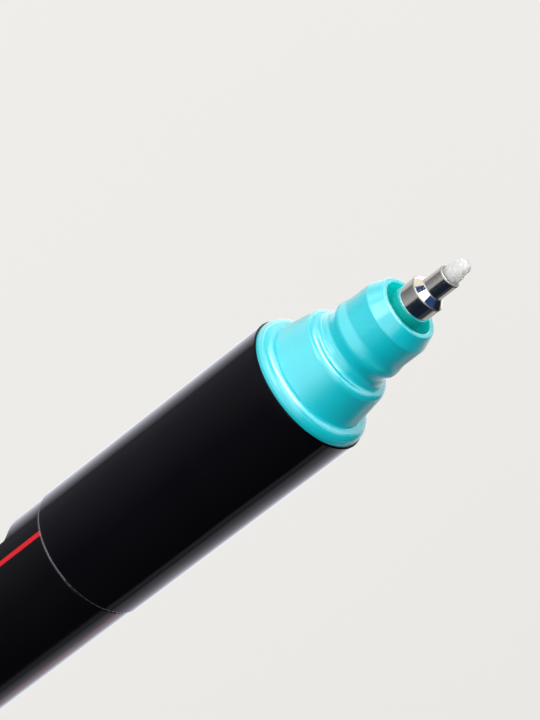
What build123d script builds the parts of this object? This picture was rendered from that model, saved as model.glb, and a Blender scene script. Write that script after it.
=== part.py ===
from build123d import *
import math
import os

# Refillable paint marker with a valve action and a metal-sheathed fine tip, without its cap.
# Millimetres. Z runs along the marker, from the rear face at z = 0 up to the tip.
# The front unscrews from the barrel's neck; pressing the tip pushes the valve stem open.
# The barrel's flat panel faces -X.

# Fits between pieces
press_gap = 0.02  # radial room between pieces that are pressed together
slide_gap = 0.06  # radial room round pieces that slide or turn
thread_gap = 0.3  # radial room between neck and sleeve, where the thread runs
seat_gap = 0.05  # room between end faces that part when something moves
overrun = 2.0  # how far a cutting shape runs past what it cuts
rounding_share = 0.95  # most of an edge that the roundings at its ends may take
tip_travel = 1.6  # how far the tip and the valve stem are pressed in

# Barrel
barrel_radius = 7.34
barrel_wall = 1.84
barrel_length = 89.0  # from the rear plug's flange to the shoulder that the sleeve stops on
barrel_edge_round = 0.2
neck_step = 1.24  # width of the shoulder round the neck
neck_wall = 1.3
neck_length = 11.0
neck_edge_round = 0.3
neck_land = 1.0  # neck bore below the shoulder, before the bore widens
neck_funnel = 1.6  # length of the cone between the two bores

# Flat panel let into one side of the barrel, with an S-shaped ramp at each end
panel_depth = 1.0
panel_setback = 4.25  # from the shoulder to the front ramp
panel_rear_margin = 11.0  # from the barrel's rear end to the rear ramp
panel_ramp = 1.3
panel_lead = 0.03  # how far outside the barrel's surface a ramp starts

# Rear plug
plug_flange_height = 3.0
plug_edge_round = 0.8
plug_spigot_length = 7.0
plug_spigot_round = 0.4
plug_foot_width = 3.74  # flat ring that the marker stands on, round a shallow recess
plug_recess_depth = 0.8
plug_dish_rim = 1.08  # rim round the dished inner end, where the mixing ball settles
plug_dish_depth = 1.2

# Mixing ball
ball_radius = 3.0

# Front sleeve
sleeve_step = 0.16  # how far the sleeve stands proud of the barrel
sleeve_length = 31.6
sleeve_front_wall = 1.28
sleeve_rear_round = 0.22
sleeve_front_round = 0.12
sleeve_web = 2.0  # inner wall that holds the valve down on the neck

# Nib
nib_radius = 0.98
nib_gap = 0.05  # radial room in the ferrule
nib_stand_out = 0.85  # shaft showing past the ferrule, up to the step
nib_step_height = 0.15
nib_step_width = 0.17
nib_point_length = 1.4
nib_point_round = 0.72
nib_flange_gap = 0.17
nib_flange_height = 1.0
nib_flange_room = 0.4  # spare room under the flange when the tip is pressed right in
nib_tail_radius = 0.5
nib_tail_length = 3.0

# Ferrule
ferrule_band = 1.93  # straight part above the collar
ferrule_cone = 0.78
ferrule_inset = 0.03  # how far the band stands back from the collar's side
ferrule_tube_wall = 0.25
ferrule_tube_length = 2.26
ferrule_spigot_wall = 0.48
ferrule_spigot_length = 6.5
ferrule_edge_round = 0.12

# Tip holder
collar_wall = 0.55
collar_stand_out = 0.56  # collar's end above the nose's lip
collar_round = 0.15
holder_wall = 0.79  # of the skirt round the spout
holder_overlap = 4.0  # how far the skirt reaches down round the spout
holder_guide_length = 3.0

# Feed rod
rod_radius = 0.95
rod_gap = 0.2  # radial room in the tip holder's guide

# Nose, in heights that stack up from the sleeve's front edge
nose_flange_inset = 0.18  # how far the flange stands back from the sleeve's side
nose_flange_height = 1.4
nose_flange_round = 1.15
nose_cone_height = 4.17
nose_cone_round = 0.8
nose_shoulder_height = 0.25
nose_shoulder_round = 0.6
nose_throat_height = 1.14
nose_throat_depth = 0.12  # throat below the cap guide's radius
nose_throat_round = 1.4
nose_bead_height = 0.29  # snap bead above the cap guide's radius
nose_bead_rise = 1.07
nose_bead_fall = 1.19
nose_bead_round = 1.8
nose_bead_foot_round = 3.0
nose_guide_height = 2.8
nose_guide_round = 0.3
nose_chamfer_height = 1.64
nose_lip_width = 0.56
nose_lip_round = 0.26
nose_mouth_round = 0.12
nose_wall = 1.19  # between the mouth and the cap guide
nose_gap = 0.9  # ring-shaped gap between the mouth and the collar
nose_gap_depth = 5.5
nose_skirt_length = 9.0
nose_cavity_rise = 0.8  # how far the wide cavity reaches above the sleeve's edge
nose_seat_rise = 3.4  # height of the step that the tip holder seats on

# Radii of the nose's cone, as shares of the way from the cap guide out to the flange
nose_cone_base_share = 0.597
nose_cone_top_share = 0.365
nose_shoulder_share = 0.073
# Radius of the nose's cavity, as a share of the way from the tip holder out to the skirt
nose_cavity_share = 0.506

# Valve
gasket_thickness = 0.8
valve_flange_height = 1.5
valve_wall = 1.24
valve_port_gap = 0.55  # radial room for paint round the feed rod
valve_spout_wall = 1.4
valve_spout_length = 8.0
valve_spout_round = 0.25
valve_roof = 1.5  # wall between the flange's underside and the chamber
valve_tube_length = 13.5
valve_lip_width = 0.4  # raised ring that the seal closes on
valve_lip_height = 0.3
groove_depth = 0.7  # seal groove round the spout
groove_land = 1.2  # spout's end to the groove
stem_pin_radius = 0.9
stem_stand_out = 2.0  # stem's end above the valve's flange
stem_head_height = 1.2
stem_guide_depth = 0.3  # how far the guide sits in the cage at rest
stem_round = 0.2
seal_thickness = 0.8
cage_floor = 0.8
cage_ring_height = 2.0
cage_port_count = 4
spring_wire_radius = 0.2
spring_turns = 6

# Radii in the valve's chamber, as shares of the way from the raised lip out to the wall
stem_head_share = 0.5
valve_seal_share = 0.375
# Radii of the stem's guide, the spring and the cage's ring, as shares of the chamber's radius
stem_guide_share = 0.4
spring_share = 0.6
cage_ring_share = 0.77
# Radius of the cage's ports, as a share of the floor's width
cage_port_share = 0.36

# Radii that chain inwards from the barrel
barrel_bore_radius = barrel_radius - barrel_wall
plug_spigot_radius = barrel_bore_radius - press_gap
plug_dish_radius = plug_spigot_radius - plug_dish_rim
neck_radius = barrel_radius - neck_step
neck_bore_radius = neck_radius - neck_wall
sleeve_radius = barrel_radius + sleeve_step
sleeve_socket_radius = neck_radius + thread_gap
sleeve_bore_radius = sleeve_radius - sleeve_front_wall
nose_skirt_radius = sleeve_bore_radius - press_gap
nose_flange_radius = sleeve_radius - nose_flange_inset
valve_tube_radius = neck_bore_radius - slide_gap
valve_chamber_radius = valve_tube_radius - valve_wall

# Radii that chain outwards from the nib
ferrule_bore_radius = nib_radius + nib_gap
ferrule_tube_radius = ferrule_bore_radius + ferrule_tube_wall
ferrule_spigot_radius = ferrule_bore_radius + ferrule_spigot_wall
holder_bore_radius = ferrule_spigot_radius + press_gap
nib_flange_radius = holder_bore_radius - nib_flange_gap
collar_radius = holder_bore_radius + collar_wall
ferrule_radius = collar_radius - ferrule_inset
nose_bore_radius = collar_radius + nose_gap
nose_lip_radius = nose_bore_radius + nose_lip_width
nose_guide_radius = nose_bore_radius + nose_wall

# Radii that chain outwards from the feed rod
valve_port_radius = rod_radius + valve_port_gap
valve_lip_radius = valve_port_radius + valve_lip_width
valve_spout_radius = valve_port_radius + valve_spout_wall
groove_radius = valve_spout_radius - groove_depth
holder_socket_radius = valve_spout_radius + slide_gap
holder_skirt_radius = holder_socket_radius + holder_wall
holder_seat_radius = holder_skirt_radius + press_gap

# Radii between two chains
nose_reach = nose_flange_radius - nose_guide_radius
nose_cone_base_radius = nose_guide_radius + nose_reach * nose_cone_base_share
nose_cone_top_radius = nose_guide_radius + nose_reach * nose_cone_top_share
nose_shoulder_radius = nose_guide_radius + nose_reach * nose_shoulder_share
nose_cavity_radius = holder_seat_radius + (nose_skirt_radius - holder_seat_radius) * nose_cavity_share
chamber_reach = valve_chamber_radius - valve_lip_radius
stem_head_radius = valve_lip_radius + chamber_reach * stem_head_share
seal_radius = valve_lip_radius + chamber_reach * valve_seal_share
cage_radius = valve_chamber_radius - press_gap
stem_guide_radius = valve_chamber_radius * stem_guide_share
spring_radius = valve_chamber_radius * spring_share
cage_ring_radius = valve_chamber_radius * cage_ring_share
cage_hole_radius = stem_guide_radius + slide_gap
spout_seal_section = (holder_socket_radius - slide_gap - groove_radius - press_gap) / 2

# Heights that stack up from the rear face
plug_z = plug_flange_height + plug_spigot_length
shoulder_z = plug_flange_height + barrel_length
neck_z = shoulder_z + neck_length
valve_flange_z = neck_z + gasket_thickness
valve_top_z = valve_flange_z + valve_flange_height
spout_z = valve_top_z + valve_spout_length
chamber_z = valve_flange_z - valve_roof
valve_end_z = valve_flange_z - valve_tube_length
sealing_z = chamber_z - valve_lip_height
stem_head_z = sealing_z - seal_thickness
spring_z = stem_head_z - stem_head_height
stem_z = valve_top_z + stem_stand_out
sleeve_z = shoulder_z + seat_gap
web_z = valve_top_z + seat_gap
nose_z = sleeve_z + sleeve_length
cone_z = nose_z + nose_flange_height
cone_top_z = cone_z + nose_cone_height
shoulder_top_z = cone_top_z + nose_shoulder_height
throat_z = shoulder_top_z + nose_throat_height
bead_z = throat_z + nose_bead_rise
guide_z = bead_z + nose_bead_fall
guide_top_z = guide_z + nose_guide_height
lip_z = guide_top_z + nose_chamfer_height
holder_seat_z = nose_z + nose_seat_rise
collar_z = lip_z + collar_stand_out
collar_base_z = lip_z - nose_gap_depth
ferrule_end_z = collar_z - ferrule_spigot_length
ferrule_cone_z = collar_z + ferrule_band
ferrule_tube_z = ferrule_cone_z + ferrule_cone
ferrule_tip_z = ferrule_tube_z + ferrule_tube_length
nib_flange_top_z = ferrule_end_z - seat_gap
nib_flange_z = nib_flange_top_z - nib_flange_height
nib_chamber_z = nib_flange_z - tip_travel - nib_flange_room
feed_chamber_z = nib_chamber_z - holder_guide_length
nib_step_z = ferrule_tip_z + nib_stand_out
nib_point_z = nib_step_z + nib_step_height
tip_z = nib_point_z + nib_point_length


def fitted_roundings(points, roundings):
    """Roundings of a closed outline, held to what the edges beside them have room for."""
    reaches = []
    for index, rounding in enumerate(roundings):
        back = points[index - 1] - points[index]
        ahead = points[(index + 1) % len(points)] - points[index]
        half_angle = math.radians(back.get_angle(ahead)) / 2
        reaches.append(rounding / math.tan(half_angle))
    shares = [1] * len(points)
    for index in range(len(points)):
        wanted = reaches[index - 1] + reaches[index]
        room = (points[index] - points[index - 1]).length * rounding_share
        if wanted > room:
            shares[index - 1] = min(shares[index - 1], room / wanted)
            shares[index] = min(shares[index], room / wanted)
    return [rounding * share for rounding, share in zip(roundings, shares)]


def turned(*corners):
    """Solid of revolution about Z. Each corner is (radius, height) or (radius, height, rounding)."""
    points = [Vector(corner[0], 0, corner[1]) for corner in corners]
    roundings = [corner[2] if len(corner) > 2 else 0 for corner in corners]
    outline = FilletPolyline(*points, radius=fitted_roundings(points, roundings), close=True)
    return revolve(make_face(outline), Axis.Z)


def make_rear_plug():
    """Pressed-in end plug: a flange flush with the barrel, and a spigot with a dished end."""
    recess_radius = barrel_radius - plug_foot_width
    return turned(
        (0, plug_recess_depth),
        (recess_radius, plug_recess_depth),
        (recess_radius, 0),
        (barrel_radius, 0, plug_edge_round),
        (barrel_radius, plug_flange_height, barrel_edge_round),
        (plug_spigot_radius, plug_flange_height),
        (plug_spigot_radius, plug_z, plug_spigot_round),
        (plug_dish_radius, plug_z),
        (0, plug_z - plug_dish_depth),
    )


def panel_ramp_lines(outer, flat, start_z, end_z):
    """Two tangent arcs that step from the barrel's surface down to the flat panel."""
    start = (outer, 0, start_z)
    middle = ((outer + flat) / 2, 0, (start_z + end_z) / 2)
    end = (flat, 0, end_z)
    along = (0, 0, end_z - start_z)
    first = TangentArc(start, middle, tangent=along)
    second = TangentArc(middle, end, tangent=first % 1)
    return [first, second]


def make_panel_cut():
    """What the flat panel takes out of the barrel: one outline, carried straight across it."""
    outer = -(barrel_radius + panel_lead)
    flat = -(barrel_radius - panel_depth)
    clear = -(barrel_radius + overrun)
    front_z = shoulder_z - panel_setback
    rear_z = plug_flange_height + panel_rear_margin
    front_ramp = panel_ramp_lines(outer, flat, front_z, front_z - panel_ramp)
    rear_ramp = panel_ramp_lines(outer, flat, rear_z, rear_z + panel_ramp)
    floor = Line((flat, 0, front_z - panel_ramp), (flat, 0, rear_z + panel_ramp))
    outside = Polyline((outer, 0, rear_z), (clear, 0, rear_z), (clear, 0, front_z), (outer, 0, front_z))
    outline = make_face([*front_ramp, floor, *rear_ramp, *outside.edges()])
    return extrude(outline, amount=barrel_radius + overrun, dir=(0, 1, 0), both=True)


def make_barrel():
    """Paint reservoir: a tube open at the rear, with a narrower neck and a flat panel."""
    funnel_z = shoulder_z - neck_land
    tube = turned(
        (barrel_bore_radius, plug_flange_height),
        (barrel_radius, plug_flange_height, barrel_edge_round),
        (barrel_radius, shoulder_z, barrel_edge_round),
        (neck_radius, shoulder_z),
        (neck_radius, neck_z, neck_edge_round),
        (neck_bore_radius, neck_z),
        (neck_bore_radius, funnel_z),
        (barrel_bore_radius, funnel_z - neck_funnel),
    )
    return tube - make_panel_cut()


def make_mixing_ball():
    """Steel ball that rests in the plug's dish and stirs the paint when shaken."""
    dish_slope = math.atan2(plug_dish_depth, plug_dish_radius)
    rest_z = plug_z - plug_dish_depth + (ball_radius + seat_gap) / math.cos(dish_slope)
    return Pos(0, 0, rest_z) * Sphere(ball_radius)


def make_front_sleeve():
    """Glossy sleeve: a threaded socket for the neck, an inner wall, and a bore for the nose."""
    web_hole_radius = valve_spout_radius + slide_gap
    return turned(
        (sleeve_socket_radius, sleeve_z),
        (sleeve_radius, sleeve_z, sleeve_rear_round),
        (sleeve_radius, nose_z, sleeve_front_round),
        (sleeve_bore_radius, nose_z),
        (sleeve_bore_radius, web_z + sleeve_web),
        (web_hole_radius, web_z + sleeve_web),
        (web_hole_radius, web_z),
        (sleeve_socket_radius, web_z),
    )


def make_nose_cone():
    """Stepped nose: flange, cone, throat, snap bead, cap guide and chamfered lip, over a skirt."""
    skirt_z = nose_z - nose_skirt_length
    cavity_z = nose_z + nose_cavity_rise
    return turned(
        (nose_cavity_radius, skirt_z),
        (nose_skirt_radius, skirt_z),
        (nose_skirt_radius, nose_z),
        (nose_flange_radius, nose_z),
        (nose_flange_radius, cone_z, nose_flange_round),
        (nose_cone_base_radius, cone_z),
        (nose_cone_top_radius, cone_top_z, nose_cone_round),
        (nose_shoulder_radius, shoulder_top_z, nose_shoulder_round),
        (nose_guide_radius - nose_throat_depth, throat_z, nose_throat_round),
        (nose_guide_radius + nose_bead_height, bead_z, nose_bead_round),
        (nose_guide_radius, guide_z, nose_bead_foot_round),
        (nose_guide_radius, guide_top_z, nose_guide_round),
        (nose_lip_radius, lip_z, nose_lip_round),
        (nose_bore_radius, lip_z, nose_mouth_round),
        (nose_bore_radius, holder_seat_z),
        (holder_seat_radius, holder_seat_z),
        (holder_seat_radius, cavity_z),
        (nose_cavity_radius, cavity_z),
    )


def make_tip_holder():
    """Inner tube: the collar seen in the nose's mouth, a seat in the nose, and a skirt on the spout."""
    skirt_z = spout_z - holder_overlap
    plug_radius = nose_bore_radius - press_gap
    guide_radius = rod_radius + rod_gap
    return turned(
        (holder_socket_radius, skirt_z),
        (holder_skirt_radius, skirt_z),
        (holder_skirt_radius, holder_seat_z),
        (plug_radius, holder_seat_z),
        (plug_radius, collar_base_z),
        (collar_radius, collar_base_z),
        (collar_radius, collar_z, collar_round),
        (holder_bore_radius, collar_z),
        (holder_bore_radius, nib_chamber_z),
        (guide_radius, nib_chamber_z),
        (guide_radius, feed_chamber_z),
        (holder_socket_radius, feed_chamber_z),
    )


def make_ferrule():
    """Polished metal sheath: a band, a cone and a fine tube, with a spigot pressed into the holder."""
    return turned(
        (ferrule_bore_radius, ferrule_end_z),
        (ferrule_spigot_radius, ferrule_end_z),
        (ferrule_spigot_radius, collar_z),
        (ferrule_radius, collar_z),
        (ferrule_radius, ferrule_cone_z, ferrule_edge_round),
        (ferrule_tube_radius, ferrule_tube_z, ferrule_edge_round),
        (ferrule_tube_radius, ferrule_tip_z, ferrule_edge_round),
        (ferrule_bore_radius, ferrule_tip_z),
    )


def make_nib():
    """Fine nib with a stepped round point, a flange that keeps it in, and a tail for the feed rod."""
    point_radius = nib_radius - nib_step_width
    return turned(
        (0, nib_flange_z - nib_tail_length),
        (nib_tail_radius, nib_flange_z - nib_tail_length),
        (nib_tail_radius, nib_flange_z),
        (nib_flange_radius, nib_flange_z),
        (nib_flange_radius, nib_flange_top_z),
        (nib_radius, nib_flange_top_z),
        (nib_radius, nib_step_z),
        (point_radius, nib_point_z),
        (point_radius, tip_z, nib_point_round),
        (0, tip_z),
    )


def make_feed_rod():
    """Fibre rod between the nib's tail and the valve stem."""
    socket_radius = nib_tail_radius + press_gap
    socket_z = nib_flange_z - nib_tail_length - seat_gap
    return turned(
        (0, stem_z),
        (rod_radius, stem_z),
        (rod_radius, nib_flange_z),
        (socket_radius, nib_flange_z),
        (socket_radius, socket_z),
        (0, socket_z),
    )


def make_valve_body():
    """Valve housing: a tube in the neck, a flange on it, and a spout with a seal groove."""
    groove_top_z = spout_z - groove_land
    groove_low_z = groove_top_z - spout_seal_section * 2 - seat_gap * 2
    return turned(
        (valve_port_radius, spout_z),
        (valve_spout_radius, spout_z, valve_spout_round),
        (valve_spout_radius, groove_top_z),
        (groove_radius, groove_top_z),
        (groove_radius, groove_low_z),
        (valve_spout_radius, groove_low_z),
        (valve_spout_radius, valve_top_z),
        (neck_radius, valve_top_z),
        (neck_radius, valve_flange_z),
        (valve_tube_radius, valve_flange_z),
        (valve_tube_radius, valve_end_z),
        (valve_chamber_radius, valve_end_z),
        (valve_chamber_radius, chamber_z),
        (valve_lip_radius, chamber_z),
        (valve_lip_radius, sealing_z),
        (valve_port_radius, sealing_z),
    )


def make_spout_seal():
    """Ring seal in the spout's groove."""
    middle_radius = groove_radius + press_gap + spout_seal_section
    middle_z = spout_z - groove_land - seat_gap - spout_seal_section
    return Pos(0, 0, middle_z) * Torus(middle_radius, spout_seal_section)


def make_neck_gasket():
    """Flat gasket between the neck's end and the valve's flange."""
    return turned(
        (neck_bore_radius, neck_z),
        (neck_radius, neck_z),
        (neck_radius, valve_flange_z),
        (neck_bore_radius, valve_flange_z),
    )


def make_valve_stem():
    """Stem: a pin up to the feed rod, a head under the seal, and a guide through the spring."""
    guide_z = valve_end_z - stem_guide_depth
    return turned(
        (0, guide_z),
        (stem_guide_radius, guide_z, stem_round),
        (stem_guide_radius, spring_z),
        (stem_head_radius, spring_z),
        (stem_head_radius, stem_head_z),
        (stem_pin_radius, stem_head_z),
        (stem_pin_radius, stem_z),
        (0, stem_z),
    )


def make_valve_seal():
    """Rubber washer on the stem's head, which closes on the raised lip."""
    hole_radius = stem_pin_radius + press_gap
    return turned(
        (hole_radius, stem_head_z),
        (seal_radius, stem_head_z),
        (seal_radius, sealing_z),
        (hole_radius, sealing_z),
    )


def make_valve_spring():
    """Coil spring: half turns that lie in tilted planes and join with one tangent."""
    low_z = valve_end_z + spring_wire_radius + seat_gap
    high_z = spring_z - spring_wire_radius - seat_gap
    rise = (high_z - low_z) / (spring_turns * 2)
    bulge = math.hypot(spring_radius, rise / 2)
    half_turns = []
    for count in range(spring_turns * 2):
        side = -1 if count % 2 else 1
        start = (side * spring_radius, 0, low_z + count * rise)
        middle = (0, side * bulge, low_z + (count + 1 / 2) * rise)
        end = (-side * spring_radius, 0, low_z + (count + 1) * rise)
        half_turns.append(ThreePointArc(start, middle, end))
    path = Wire(half_turns)
    section = Plane(origin=path @ 0, z_dir=path % 0) * Circle(spring_wire_radius)
    return sweep(section, path)


def make_valve_cage():
    """Spring cage pressed into the valve's tube, with ports round a hole that guides the stem."""
    ring_z = valve_end_z + cage_ring_height
    floor_z = valve_end_z - cage_floor
    cage = turned(
        (cage_hole_radius, floor_z),
        (valve_tube_radius, floor_z),
        (valve_tube_radius, valve_end_z),
        (cage_radius, valve_end_z),
        (cage_radius, ring_z),
        (cage_ring_radius, ring_z),
        (cage_ring_radius, valve_end_z),
        (cage_hole_radius, valve_end_z),
    )
    port_circle_radius = (cage_hole_radius + cage_ring_radius) / 2
    port = Cylinder((cage_ring_radius - cage_hole_radius) * cage_port_share, cage_floor + overrun)
    ports = PolarLocations(port_circle_radius, cage_port_count) * port
    return cage - Pos(0, 0, valve_end_z - cage_floor / 2) * Compound(ports)


pieces = {
    "rear_plug": make_rear_plug(),
    "barrel": make_barrel(),
    "mixing_ball": make_mixing_ball(),
    "front_sleeve": make_front_sleeve(),
    "nose_cone": make_nose_cone(),
    "tip_holder": make_tip_holder(),
    "ferrule": make_ferrule(),
    "nib": make_nib(),
    "feed_rod": make_feed_rod(),
    "valve_body": make_valve_body(),
    "spout_seal": make_spout_seal(),
    "neck_gasket": make_neck_gasket(),
    "valve_stem": make_valve_stem(),
    "valve_seal": make_valve_seal(),
    "valve_spring": make_valve_spring(),
    "valve_cage": make_valve_cage(),
}

os.makedirs("parts", exist_ok=True)
for name, piece in pieces.items():
    export_step(piece, f"parts/{name}.step")
    print(name, "volume", round(piece.volume, 2), "mm3")
print("tip at", round(tip_z, 3), "nose from", round(nose_z, 3))
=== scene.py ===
import math

import bpy
import numpy as np
from bpy.props import BoolProperty, FloatProperty, FloatVectorProperty, PointerProperty
from mathutils import Matrix, Vector


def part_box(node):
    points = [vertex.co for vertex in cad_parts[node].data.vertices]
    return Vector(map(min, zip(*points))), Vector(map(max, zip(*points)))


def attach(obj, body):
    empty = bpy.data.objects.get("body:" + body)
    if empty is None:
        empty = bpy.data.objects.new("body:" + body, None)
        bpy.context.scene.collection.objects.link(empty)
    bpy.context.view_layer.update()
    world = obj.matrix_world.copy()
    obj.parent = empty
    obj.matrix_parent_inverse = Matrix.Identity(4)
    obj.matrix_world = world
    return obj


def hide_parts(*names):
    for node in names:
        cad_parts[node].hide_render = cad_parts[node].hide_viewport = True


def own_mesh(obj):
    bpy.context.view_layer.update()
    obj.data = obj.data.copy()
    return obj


bl_info = {
    "name": "Paint Marker",
    "version": (1, 0, 0),
    "blender": (4, 5, 0),
    "location": "View3D > Sidebar > Marker",
    "description": "Dresses the packed paint marker with its finishes, thread, spring, stage and camera",
    "category": "Object",
}

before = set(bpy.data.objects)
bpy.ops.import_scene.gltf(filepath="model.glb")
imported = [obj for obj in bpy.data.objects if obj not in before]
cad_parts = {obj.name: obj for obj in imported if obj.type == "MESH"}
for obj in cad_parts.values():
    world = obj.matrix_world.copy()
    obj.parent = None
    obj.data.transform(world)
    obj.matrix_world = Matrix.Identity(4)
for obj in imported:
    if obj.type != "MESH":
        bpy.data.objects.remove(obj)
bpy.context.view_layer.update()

MM = 0.001
MICRON = 0.001 * MM
FULL_TURN = 2 * math.pi

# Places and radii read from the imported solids, in metres
BARREL_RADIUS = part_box("barrel")[1].x
NECK_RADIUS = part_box("neck_gasket")[1].x
SLEEVE_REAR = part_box("front_sleeve")[0].z
SLEEVE_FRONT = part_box("front_sleeve")[1].z
NOSE_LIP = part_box("nose_cone")[1].z
FERRULE_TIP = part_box("ferrule")[1].z
NOSE_FOOT = Vector((0, 0, SLEEVE_FRONT))


def colour_property(name, description, default):
    """Colour that a user can change."""
    return FloatVectorProperty(name=name, description=description, subtype="COLOR", size=3, default=default)


def length_property(name, description, default):
    """Length that a user can change, in metres."""
    return FloatProperty(name=name, description=description, unit="LENGTH", default=default)


def angle_property(name, description, degrees):
    """Angle that a user can change; its default is given in degrees."""
    return FloatProperty(name=name, description=description, subtype="ANGLE", default=math.radians(degrees))


class MarkerColours(bpy.types.PropertyGroup):
    """Colours of the marker's plastics, metals and print."""

    gloss_black: colour_property("Gloss black", "Front sleeve", (0.0036, 0.0036, 0.005))
    gloss_dust: colour_property("Dust on gloss", "Specks on the sleeve", (0.05, 0.052, 0.056))
    satin_black: colour_property("Satin black", "Barrel", (0.0036, 0.0035, 0.0047))
    satin_dust: colour_property("Dust on satin", "Specks on the barrel", (0.04, 0.041, 0.044))
    # Painted highlight: a pale line on the barrel's front edge, for the light that its rounding catches
    painted_edge_highlight: colour_property("Painted edge highlight", "Front edge of the barrel", (0.12, 0.135, 0.175))
    print_red: colour_property("Print red", "Lines printed along the barrel", (0.62, 0.012, 0.02))
    turquoise: colour_property("Turquoise", "Nose and rear plug", (0.002, 0.55, 0.64))
    # Painted light: the mouth's lighter colour stands in for light through its thin walls
    mouth: colour_property("Mouth", "Inside of the nose's mouth", (0.004, 0.96, 0.95))
    teal: colour_property("Teal", "Tip holder inside the nose", (0.004, 0.37, 0.335))
    bright_metal: colour_property("Bright metal", "Polished sheath", (0.78, 0.765, 0.745))
    steel: colour_property("Steel", "Spring and mixing ball", (0.55, 0.56, 0.57))
    nib_white: colour_property("Nib white", "Nib", (0.92, 0.925, 0.9))
    natural: colour_property("Natural plastic", "Valve pieces and feed rod", (0.68, 0.69, 0.66))
    rubber: colour_property("Rubber", "Seals and gasket", (0.02, 0.02, 0.021))


class MarkerSizes(bpy.types.PropertyGroup):
    """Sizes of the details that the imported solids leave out."""

    thread_pitch: length_property("Thread pitch", "Lift of the front in one turn", 2.5 * MM)
    thread_height: length_property("Thread height", "Ridge above the neck", 0.22 * MM)
    thread_width: length_property("Thread width", "Foot of the ridge along the neck", 1.0 * MM)
    thread_turns: FloatProperty(name="Thread turns", description="Length of the ridge in turns", default=3.6)
    thread_margin: length_property(
        "Thread margin", "From the shoulder to the middle of the ridge's start", 1.0 * MM)
    spring_wire: length_property("Spring wire", "Radius of the spring's wire", 0.2 * MM)
    spring_turns: FloatProperty(name="Spring turns", description="Turns of the valve spring", default=6)
    valve_stroke: length_property("Valve stroke", "How far the stem goes in", 1.6 * MM)
    line_width: length_property("Line width", "Width of a printed line", 0.55 * MM)
    upper_line_angle: angle_property("Upper line", "From the front of the barrel towards +X", -40.3)
    lower_line_angle: angle_property("Lower line", "From the front of the barrel towards +X", 65.5)
    lower_line_ink: FloatProperty(
        name="Lower line ink", description="How strongly the lower line is printed", subtype="FACTOR",
        default=0.5)


class Softbox(bpy.types.PropertyGroup):
    """One soft lamp, placed round the nose by direction and distance."""

    azimuth: angle_property("Azimuth", "From the camera's side towards +X", 0)
    elevation: angle_property("Elevation", "Above the horizon", 0)
    distance: length_property("Distance", "From the nose", 0.6)
    width: length_property("Width", "Across", 0.4)
    height: length_property("Height", "Up and down", 0.2)
    radiance: FloatProperty(name="Radiance", description="Brightness of its face", default=4.0)
    polished: BoolProperty(
        name="Polished", description="Whether polished surfaces reflect its face", default=True)


class MarkerStage(bpy.types.PropertyGroup):
    """Camera, floor and light."""

    tilt: angle_property("Tilt", "How far the camera looks down on the upright marker", 27.67)
    axis_angle: angle_property("Axis angle", "Marker's axis in the picture, above the horizontal", 37.873)
    depth: length_property("Depth", "From the camera to the sleeve's front edge", 341.26 * MM)
    aside: length_property("Aside", "Sleeve's front edge right of the picture's middle", 3.862 * MM)
    below: length_property("Below", "Sleeve's front edge below the picture's middle", 2.389 * MM)
    lens: FloatProperty(name="Lens", description="Focal length in millimetres", default=173.55)
    floor_colour: colour_property("Floor", "Ground near the picture's lower right", (0.833, 0.822, 0.795))
    far_colour: colour_property("Far ground", "Ground near the picture's upper left", (0.868, 0.858, 0.832))
    ambient: FloatProperty(name="Ambient", description="Strength of the room's light", default=1.0)


# Each group of settings by its name on the scene
SETTINGS = {
    "marker_colours": MarkerColours,
    "marker_sizes": MarkerSizes,
    "marker_stage": MarkerStage,
    "marker_top_box": Softbox,
    "marker_window_box": Softbox,
}
PROPERTY_CLASSES = (MarkerColours, MarkerSizes, Softbox, MarkerStage)


def new_node(tree, kind, label="", **sockets):
    """Adds a node and sets the named sockets to plain values."""
    node = tree.nodes.new(kind)
    node.label = label
    for name, value in sockets.items():
        node.inputs[name.replace("_", " ")].default_value = value
    return node


def math_node(tree, operation, first, second=None, third=None):
    """Adds a Math node; each operand is a number or an output socket."""
    node = tree.nodes.new("ShaderNodeMath")
    node.operation = operation
    for socket, value in zip(node.inputs, (first, second, third)):
        if value is None:
            continue
        if isinstance(value, (int, float)):
            socket.default_value = value
        else:
            tree.links.new(value, socket)
    return node.outputs[0]


def multiply(tree, first, second):
    """Product of two values."""
    return math_node(tree, "MULTIPLY", first, second)


def highest(tree, first, *others):
    """Largest of several values."""
    for value in others:
        first = math_node(tree, "MAXIMUM", first, value)
    return first


def remap(tree, value, low, high, to_low, to_high, smooth=False):
    """Maps a value from one range to another and holds it at the ends."""
    node = tree.nodes.new("ShaderNodeMapRange")
    node.interpolation_type = "SMOOTHSTEP" if smooth else "LINEAR"
    for name, number in (("From Min", low), ("From Max", high), ("To Min", to_low), ("To Max", to_high)):
        node.inputs[name].default_value = number
    tree.links.new(value, node.inputs["Value"])
    return node.outputs["Result"]


def window(tree, value, low, high, soft):
    """1 where the value lies between two numbers, with soft edges, and 0 outside."""
    rise = remap(tree, value, low - soft, low + soft, 0, 1, smooth=True)
    fall = remap(tree, value, high - soft, high + soft, 1, 0, smooth=True)
    return multiply(tree, rise, fall)


def mix_colour(tree, factor, first, second):
    """Blends two colours by a factor; each is a colour value or an output socket."""
    node = tree.nodes.new("ShaderNodeMix")
    node.data_type = "RGBA"
    tree.links.new(factor, node.inputs["Factor"])
    first_colour, second_colour, result = node.inputs[6], node.inputs[7], node.outputs[2]
    for socket, value in ((first_colour, first), (second_colour, second)):
        if isinstance(value, bpy.types.NodeSocket):
            tree.links.new(value, socket)
        else:
            socket.default_value = (*value, 1)
    return result


def split(tree, vector):
    """X, Y and Z of a vector, by name."""
    parts = new_node(tree, "ShaderNodeSeparateXYZ", "place")
    tree.links.new(vector, parts.inputs["Vector"])
    return parts.outputs


def radius_of(tree, axes):
    """Distance from the marker's axis."""
    across = multiply(tree, axes["X"], axes["X"])
    return math_node(tree, "SQRT", math_node(tree, "MULTIPLY_ADD", axes["Y"], axes["Y"], across))


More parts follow.
